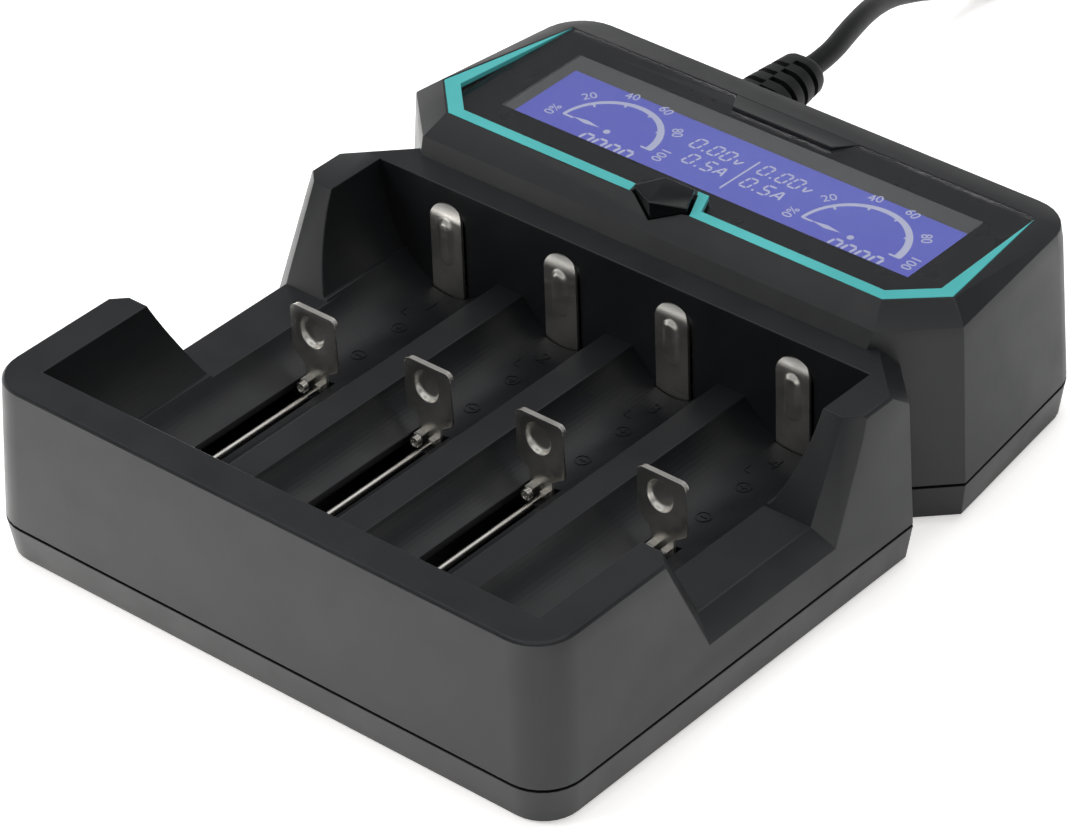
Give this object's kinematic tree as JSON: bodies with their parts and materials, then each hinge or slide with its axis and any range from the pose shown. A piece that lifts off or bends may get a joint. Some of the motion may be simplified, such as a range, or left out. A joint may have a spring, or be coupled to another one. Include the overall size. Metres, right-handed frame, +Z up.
{
  "type": "battery charger",
  "caption": "Desktop charger for round cells: an open tray of bays with sprung sliding contacts and a raised head with a blue display, a button and a detachable power lead.",
  "frame": {"origin": "middle of the case's footprint, at the surface that its feet stand on", "axes": "+Z up; -Y toward the front of the battery tray; +Y toward the display head and the lead"},
  "size_m": [0.1924, 0.305, 0.0435],
  "materials": {
    "shell": "satin moulded, near black",
    "base": "satin moulded, near black",
    "lens": "clear window with a dark printed border",
    "teal": "glossy teal strip",
    "lcd": "blue display with pale segments",
    "holder": "white moulded backlight frame",
    "board": "green laminate",
    "gem": "glossy black",
    "ivory": "ivory moulded",
    "contact": "bright nickel plate",
    "steel": "zinc plated",
    "component": "dark sleeve",
    "winding": "enamelled copper wire",
    "tape": "yellow wound tape",
    "sink": "extruded",
    "pin": "bright brass",
    "rubber": "soft grey black",
    "cord": "soft black sheath",
    "moulding": "satin black moulding"
  },
  "bodies": {
    "case": {"tray_front": "shell", "tray_walls_front": "shell", "tray_walls_mid": "shell", "tray_walls_rear": "shell", "bay_floor_1": "shell", "bay_floor_2": "shell", "bay_floor_3": "shell", "bay_floor_4": "shell", "head_shell": "shell", "base_shell": "base", "display_lens": "lens", "teal_trim": "teal", "lcd_panel": "lcd", "lcd_holder": "holder", "display_board": "board", "display_screws": "steel", "button_switch": "component", "main_board": "board", "transformer": "tape", "capacitors": "component", "chokes": "winding", "heat_sink": "sink", "board_link": "ivory", "power_inlet": "component", "inlet_pins": "pin", "board_screws": "steel", "case_screws": "steel", "rubber_feet": "rubber", "rear_contact_1": "contact", "rear_contact_2": "contact", "rear_contact_3": "contact", "rear_contact_4": "contact", "guide_rods": "contact", "return_spring_1": "steel", "return_spring_2": "steel", "return_spring_3": "steel", "return_spring_4": "steel", "lead_connector": "moulding", "cord_lead": "cord", "cord_coil": "cord", "cord_tie": "moulding", "plug_body": "moulding", "plug_pins": "pin"},
    "slider_1": {"slide_contact_1": "contact", "slider_foot_1": "moulding"},
    "slider_2": {"slide_contact_2": "contact", "slider_foot_2": "moulding"},
    "slider_3": {"slide_contact_3": "contact", "slider_foot_3": "moulding"},
    "slider_4": {"slide_contact_4": "contact", "slider_foot_4": "moulding"},
    "button": {"mode_button": "gem", "switch_plunger": "ivory"}
  },
  "joints": [
    {"name": "slide_1", "type": "slide", "parent": "case", "child": "slider_1", "axis": [0, -1, 0], "range_m": [0, 0.046], "stiffness_N_per_m": 40, "springref_m": -0.02, "deforming": ["return_spring_1"]},
    {"name": "slide_2", "type": "slide", "parent": "case", "child": "slider_2", "axis": [0, -1, 0], "range_m": [0, 0.046], "stiffness_N_per_m": 40, "springref_m": -0.02, "deforming": ["return_spring_2"]},
    {"name": "slide_3", "type": "slide", "parent": "case", "child": "slider_3", "axis": [0, -1, 0], "range_m": [0, 0.046], "stiffness_N_per_m": 40, "springref_m": -0.02, "deforming": ["return_spring_3"]},
    {"name": "slide_4", "type": "slide", "parent": "case", "child": "slider_4", "axis": [0, -1, 0], "range_m": [0, 0.046], "stiffness_N_per_m": 40, "springref_m": -0.02, "deforming": ["return_spring_4"]},
    {"name": "button_press", "type": "slide", "parent": "case", "child": "button", "axis": [0, 0, -1], "range_m": [0, 0.0007], "stiffness_N_per_m": 1200, "springref_m": -0.0003}
  ]
}
